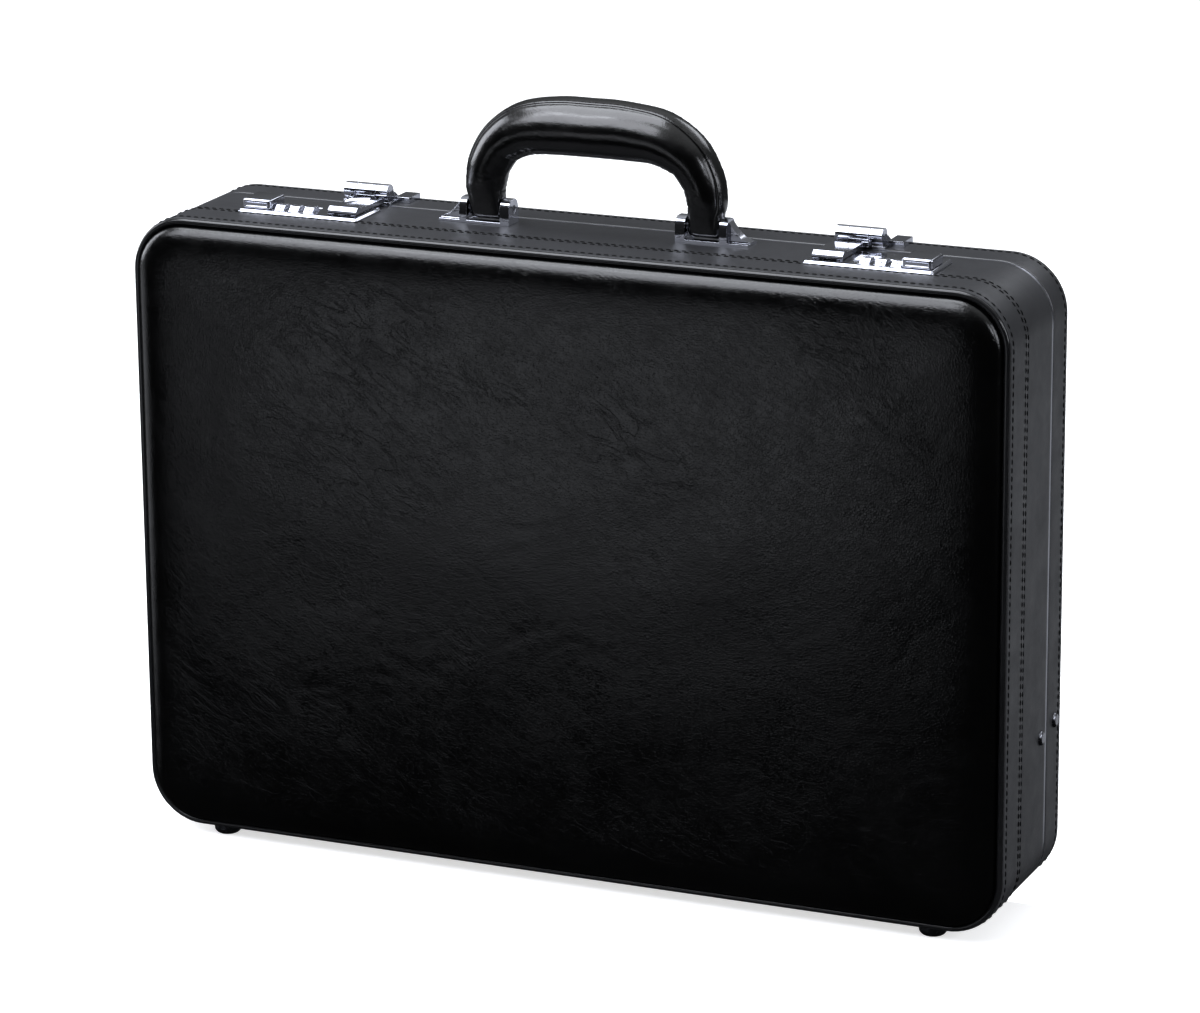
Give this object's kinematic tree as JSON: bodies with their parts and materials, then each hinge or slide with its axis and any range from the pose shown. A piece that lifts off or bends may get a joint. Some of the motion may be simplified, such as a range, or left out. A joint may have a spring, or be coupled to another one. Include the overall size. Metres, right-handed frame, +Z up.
{
  "type": "attache case",
  "caption": "Hard-sided leather attache case with padded panels, combination locks, flip hasps, a swinging padded handle and a hinged lid on folding stays",
  "frame": {"origin": "middle of the footprint at the underside of the feet", "axes": "+Z up towards the handle, -Y towards the deep half (base) panel, +X to the right seen from that side"},
  "size_m": [0.4632, 0.1014, 0.3922],
  "materials": {
    "panel_leather": "glossy, fine grain",
    "side_leather": "semi-matt smooth",
    "handle_leather": "glossy",
    "foam": "open-cell foam",
    "board": "laminated board",
    "frame_metal": "satin",
    "lining": "woven",
    "foot_metal": "dark polished",
    "dial_metal": "satin",
    "steel": "zinc plated",
    "chrome": "polished"
  },
  "bodies": {
    "base": {"base_feet": "foot_metal", "base_frame": "frame_metal", "base_lining": "lining", "base_shell": "board", "bracket_screws": "steel", "dial_shaft_left": "steel", "dial_shaft_right": "steel", "front_panel": "panel_leather", "front_panel_foam": "foam", "front_welt": "panel_leather", "handle_backing_left": "steel", "handle_backing_right": "steel", "handle_bracket_left": "chrome", "handle_bracket_right": "chrome", "handle_pins": "chrome", "hinge_base_left": "steel", "hinge_base_right": "steel", "hinge_pins": "steel", "lock_case_left": "steel", "lock_case_right": "steel", "lock_plate_left": "chrome", "lock_plate_right": "chrome", "side_leather_front": "side_leather", "side_leather_middle": "side_leather", "stay_rivets_base": "chrome"},
    "lid": {"lid_shell": "board", "side_leather_lid": "side_leather", "rear_panel": "panel_leather", "rear_panel_foam": "foam", "rear_welt": "panel_leather", "lid_frame": "frame_metal", "lid_lining": "lining", "document_pocket": "lining", "lid_feet": "foot_metal", "hinge_lid_left": "steel", "hinge_lid_right": "steel", "hasp_mount_left": "chrome", "hasp_mount_right": "chrome", "hasp_pins": "chrome", "stay_rivets_lid": "chrome"},
    "handle": {"handle_grip": "handle_leather", "handle_end_left": "handle_leather", "handle_end_right": "handle_leather"},
    "hasp_left": {"hasp_left": "chrome"},
    "hasp_right": {"hasp_right": "chrome"},
    "button_left": {"lock_button_left": "chrome"},
    "button_right": {"lock_button_right": "chrome"},
    "stay_base_links": {"stay_base_left": "steel", "stay_base_right": "steel", "stay_elbows": "steel"},
    "stay_lid_links": {"stay_lid_left": "steel", "stay_lid_right": "steel"},
    "dial_left_1": {"dial_left_1": "dial_metal"},
    "dial_left_2": {"dial_left_2": "dial_metal"},
    "dial_left_3": {"dial_left_3": "dial_metal"},
    "dial_right_1": {"dial_right_1": "dial_metal"},
    "dial_right_2": {"dial_right_2": "dial_metal"},
    "dial_right_3": {"dial_right_3": "dial_metal"}
  },
  "joints": [
    {"name": "lid_hinge", "type": "hinge", "parent": "base", "child": "lid", "pos_m": [0, 0.02075, 0.004], "axis": [-1, 0, 0], "range_deg": [0, 80]},
    {"name": "handle_swing", "type": "hinge", "parent": "base", "child": "handle", "pos_m": [0, 0.00625, 0.3315], "axis": [1, 0, 0], "range_deg": [-75, 75]},
    {"name": "stay_base_swing", "type": "hinge", "parent": "base", "child": "stay_base_links", "pos_m": [0, 0.01235, 0.0905], "axis": [-1, 0, 0], "range_deg": [0, 74.24]},
    {"name": "stay_elbow_swing", "type": "hinge", "parent": "stay_base_links", "child": "stay_lid_links", "pos_m": [0, 0.03223, 0.1834], "axis": [-1, 0, 0], "range_deg": [-76.21, 0]},
    {"name": "hasp_left_flip", "type": "hinge", "parent": "lid", "child": "hasp_left", "pos_m": [-0.1315, 0.02335, 0.3302], "axis": [-1, 0, 0], "range_deg": [0, 100]},
    {"name": "button_left_slide", "type": "slide", "parent": "base", "child": "button_left", "axis": [-1, 0, 0], "range_m": [0, 0.005], "stiffness_N_per_m": 150, "springref_m": -0.002},
    {"name": "dial_left_1_turn", "type": "hinge", "parent": "base", "child": "dial_left_1", "pos_m": [-0.147, -0.00975, 0.3217], "axis": [1, 0, 0], "continuous": true},
    {"name": "dial_left_2_turn", "type": "hinge", "parent": "base", "child": "dial_left_2", "pos_m": [-0.155, -0.00975, 0.3217], "axis": [1, 0, 0], "continuous": true},
    {"name": "dial_left_3_turn", "type": "hinge", "parent": "base", "child": "dial_left_3", "pos_m": [-0.163, -0.00975, 0.3217], "axis": [1, 0, 0], "continuous": true},
    {"name": "hasp_right_flip", "type": "hinge", "parent": "lid", "child": "hasp_right", "pos_m": [0.1315, 0.02335, 0.3302], "axis": [-1, 0, 0], "range_deg": [0, 100]},
    {"name": "button_right_slide", "type": "slide", "parent": "base", "child": "button_right", "axis": [1, 0, 0], "range_m": [0, 0.005], "stiffness_N_per_m": 150, "springref_m": -0.002},
    {"name": "dial_right_1_turn", "type": "hinge", "parent": "base", "child": "dial_right_1", "pos_m": [0.147, -0.00975, 0.3217], "axis": [1, 0, 0], "continuous": true},
    {"name": "dial_right_2_turn", "type": "hinge", "parent": "base", "child": "dial_right_2", "pos_m": [0.155, -0.00975, 0.3217], "axis": [1, 0, 0], "continuous": true},
    {"name": "dial_right_3_turn", "type": "hinge", "parent": "base", "child": "dial_right_3", "pos_m": [0.163, -0.00975, 0.3217], "axis": [1, 0, 0], "continuous": true}
  ],
  "couplings": [
    {"joint": "stay_base_swing", "follows": "lid_hinge", "ratio": 0.92175},
    {"joint": "stay_elbow_swing", "follows": "lid_hinge", "ratio": -0.94635}
  ]
}
